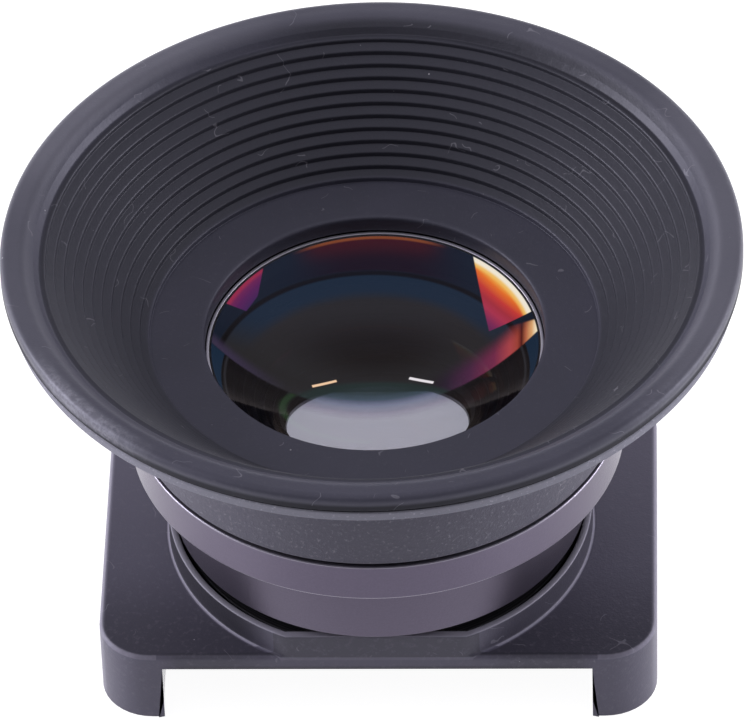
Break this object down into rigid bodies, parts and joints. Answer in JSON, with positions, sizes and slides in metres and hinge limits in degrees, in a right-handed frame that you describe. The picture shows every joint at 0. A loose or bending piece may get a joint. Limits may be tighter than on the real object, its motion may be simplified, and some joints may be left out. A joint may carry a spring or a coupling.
{
  "type": "camera viewfinder eyepiece magnifier",
  "caption": "Slide-on viewfinder magnifier: flared ribbed rubber eyecup on a metal lens barrel, screwed into a moulded mount plate with two legs.",
  "frame": {"origin": "on the optical axis, at the height of the mount plate's feet, which is the middle of the bottom of the part's box", "axes": "+Z along the optical axis towards the eye, X across the two legs, -Y towards the open end where the camera's viewfinder frame slides in"},
  "size_m": [0.0432, 0.0432, 0.0276],
  "materials": {
    "moulded_plastic": "fine satin moulding, charcoal with a violet cast",
    "anodised_metal": "turned and anodised dark, satin with a violet cast",
    "blackened_metal": "turned and anodised black, satin",
    "baffle_black": "matt black optical paint",
    "lens_glass": "polished and coated lens glass with a magenta and blue reflection",
    "eyecup_rubber": "soft black moulded rubber, matt, with a grained neck"
  },
  "bodies": {
    "mount": {"mount_plate": "moulded_plastic", "thread_ring": "blackened_metal"},
    "lens_train": {"eye_lens": "lens_glass", "baffle_tube": "baffle_black", "field_flint_lens": "lens_glass", "field_crown_lens": "lens_glass"},
    "barrel": {"barrel": "anodised_metal", "eye_lens_ring": "blackened_metal", "field_lens_ring": "blackened_metal"},
    "eyecup": {"eyecup": "eyecup_rubber"}
  },
  "joints": [
    {"name": "barrel_rise", "type": "slide", "parent": "mount", "child": "lens_train", "axis": [0, 0, 1], "range_m": [0, 0.00113]},
    {"name": "barrel_turn", "type": "hinge", "parent": "lens_train", "child": "barrel", "pos_m": [0, 0, 0], "axis": [0, 0, 1], "range_deg": [0, 810]},
    {"name": "eyecup_turn", "type": "hinge", "parent": "barrel", "child": "eyecup", "pos_m": [0, 0, 0], "axis": [0, 0, 1], "continuous": true}
  ],
  "couplings": [
    {"joint": "barrel_rise", "follows": "barrel_turn", "m_per_rad": 0.000079577}
  ]
}
